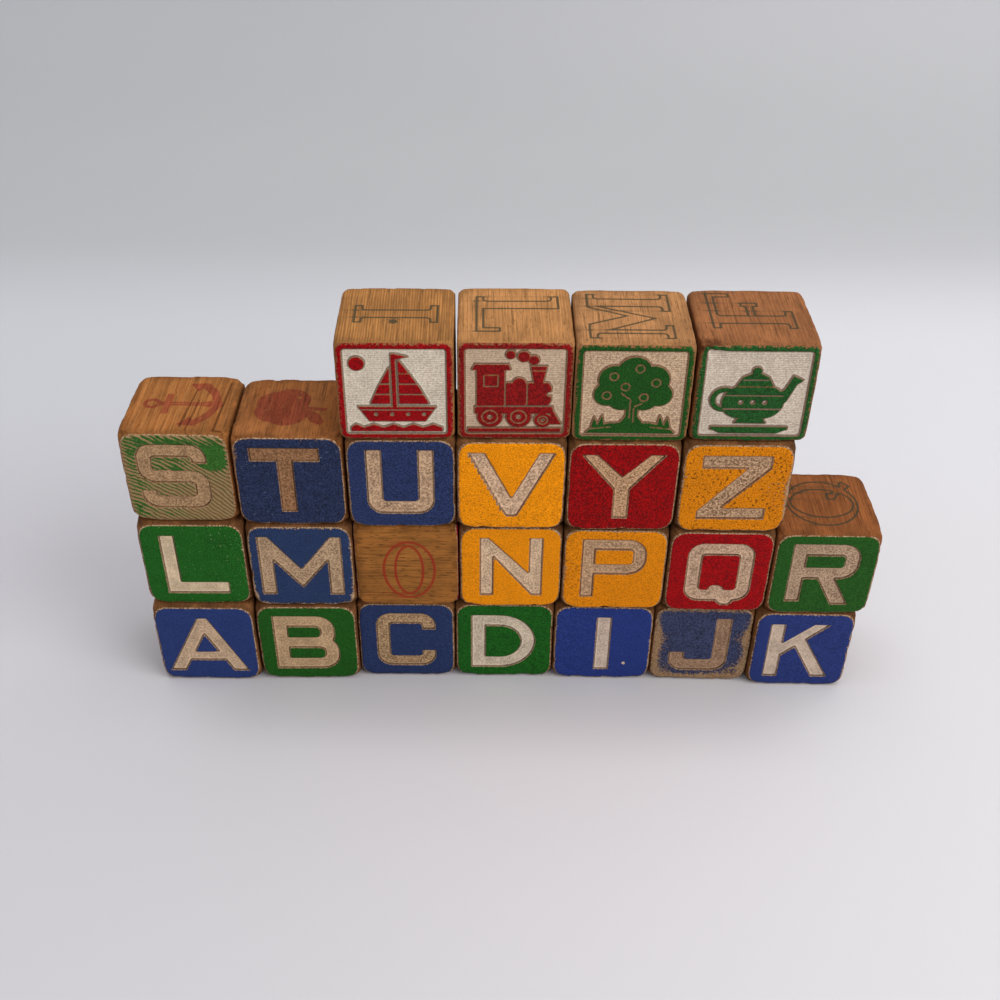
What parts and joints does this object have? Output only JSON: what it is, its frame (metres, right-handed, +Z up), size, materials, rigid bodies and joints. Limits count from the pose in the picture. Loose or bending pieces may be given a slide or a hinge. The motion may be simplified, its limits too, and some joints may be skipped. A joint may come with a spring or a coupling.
{
  "type": "alphabet block set",
  "caption": "Set of wooden alphabet blocks, stacked in rows: solid cubes with stamped, painted letters and pictures on two faces and printed outline letters on the others.",
  "frame": {"origin": "centre of the underside of the middle block of the bottom row, the block with the D, on the surface that the set stands on", "axes": "+X to the right along the row, +Y from the front of the row to its back, +Z up"},
  "size_m": [0.2254, 0.0362, 0.1271],
  "materials": {
    "wood": "bare, worn",
    "wood_dark": "bare, darkened",
    "paint_blue": "old enamel",
    "paint_green": "old enamel",
    "paint_yellow": "old enamel",
    "paint_red": "old enamel",
    "ink_grey": "faded print",
    "ink_red": "faded print"
  },
  "bodies": {
    "body_a": {"block_a": "wood", "paint_a": "paint_blue", "print_a": "ink_grey"},
    "body_b": {"block_b": "wood", "paint_b": "paint_green"},
    "body_c": {"block_c": "wood", "paint_c": "paint_blue"},
    "body_d": {"block_d": "wood", "paint_d": "paint_green"},
    "body_i": {"block_i": "wood", "paint_i": "paint_blue"},
    "body_j": {"block_j": "wood", "paint_j": "paint_blue"},
    "body_k": {"block_k": "wood", "paint_k": "paint_blue", "print_k": "ink_grey"},
    "body_l": {"block_l": "wood", "paint_l": "paint_green", "print_l": "ink_grey"},
    "body_m": {"block_m": "wood", "paint_m": "paint_blue"},
    "body_o": {"block_o": "wood", "paint_o": "paint_red", "print_o": "ink_red"},
    "body_n": {"block_n": "wood", "paint_n": "paint_yellow"},
    "body_p": {"block_p": "wood", "paint_p": "paint_yellow"},
    "body_q": {"block_q": "wood", "paint_q": "paint_red"},
    "body_r": {"block_r": "wood_dark", "paint_r": "paint_green", "print_r": "ink_grey"},
    "body_s": {"block_s": "wood", "paint_s": "paint_green", "print_s": "ink_red"},
    "body_t": {"block_t": "wood_dark", "paint_t": "paint_blue", "print_t": "ink_red"},
    "body_u": {"block_u": "wood", "paint_u": "paint_blue"},
    "body_v": {"block_v": "wood", "paint_v": "paint_yellow"},
    "body_y": {"block_y": "wood", "paint_y": "paint_red"},
    "body_z": {"block_z": "wood", "paint_z": "paint_yellow", "print_z": "ink_grey"},
    "body_boat": {"block_boat": "wood", "paint_boat": "paint_red", "print_boat": "ink_grey"},
    "body_train": {"block_train": "wood", "paint_train": "paint_red", "print_train": "ink_grey"},
    "body_tree": {"block_tree": "wood", "paint_tree": "paint_green", "print_tree": "ink_grey"},
    "body_teapot": {"block_teapot": "wood_dark", "paint_teapot": "paint_green", "print_teapot": "ink_grey"}
  },
  "joints": [
    {"name": "draw_a", "type": "slide", "parent": "body_d", "child": "body_a", "axis": [0, -1, 0], "range_m": [0, 0.036]},
    {"name": "draw_b", "type": "slide", "parent": "body_d", "child": "body_b", "axis": [0, -1, 0], "range_m": [0, 0.036]},
    {"name": "draw_c", "type": "slide", "parent": "body_d", "child": "body_c", "axis": [-0.007, 1, 0], "range_m": [0, 0.036]},
    {"name": "draw_i", "type": "slide", "parent": "body_d", "child": "body_i", "axis": [0, 1, 0], "range_m": [0, 0.036]},
    {"name": "draw_j", "type": "slide", "parent": "body_d", "child": "body_j", "axis": [-0.0113, -0.9999, 0], "range_m": [0, 0.036]},
    {"name": "draw_k", "type": "slide", "parent": "body_d", "child": "body_k", "axis": [0, -1, 0], "range_m": [0, 0.036]},
    {"name": "draw_l", "type": "slide", "parent": "body_a", "child": "body_l", "axis": [-0.007, -1, 0], "range_m": [0, 0.036]},
    {"name": "draw_m", "type": "slide", "parent": "body_b", "child": "body_m", "axis": [0, -1, 0], "range_m": [0, 0.036]},
    {"name": "draw_o", "type": "slide", "parent": "body_c", "child": "body_o", "axis": [0.007, -1, 0], "range_m": [0, 0.036]},
    {"name": "draw_n", "type": "slide", "parent": "body_d", "child": "body_n", "axis": [0.007, -1, 0], "range_m": [0, 0.036]},
    {"name": "draw_p", "type": "slide", "parent": "body_i", "child": "body_p", "axis": [0.0035, 1, 0], "range_m": [0, 0.036]},
    {"name": "draw_q", "type": "slide", "parent": "body_j", "child": "body_q", "axis": [-0.007, -1, 0], "range_m": [0, 0.036]},
    {"name": "draw_r", "type": "slide", "parent": "body_k", "child": "body_r", "axis": [0, -1, 0], "range_m": [0, 0.036]},
    {"name": "lift_s", "type": "slide", "parent": "body_l", "child": "body_s", "axis": [0, 0, 1], "range_m": [0, 0.04]},
    {"name": "draw_t", "type": "slide", "parent": "body_m", "child": "body_t", "axis": [0, -1, 0], "range_m": [0, 0.036]},
    {"name": "draw_u", "type": "slide", "parent": "body_o", "child": "body_u", "axis": [0, -1, 0], "range_m": [0, 0.036]},
    {"name": "draw_v", "type": "slide", "parent": "body_n", "child": "body_v", "axis": [0.0061, -1, 0], "range_m": [0, 0.036]},
    {"name": "draw_y", "type": "slide", "parent": "body_p", "child": "body_y", "axis": [0.0035, -1, 0], "range_m": [0, 0.036]},
    {"name": "draw_z", "type": "slide", "parent": "body_q", "child": "body_z", "axis": [0.0017, -1, 0], "range_m": [0, 0.036]},
    {"name": "lift_boat", "type": "slide", "parent": "body_u", "child": "body_boat", "axis": [0, 0, 1], "range_m": [0, 0.04]},
    {"name": "lift_train", "type": "slide", "parent": "body_v", "child": "body_train", "axis": [0, 0, 1], "range_m": [0, 0.04]},
    {"name": "lift_tree", "type": "slide", "parent": "body_y", "child": "body_tree", "axis": [0, 0, 1], "range_m": [0, 0.04]},
    {"name": "lift_teapot", "type": "slide", "parent": "body_z", "child": "body_teapot", "axis": [0, 0, 1], "range_m": [0, 0.04]}
  ]
}
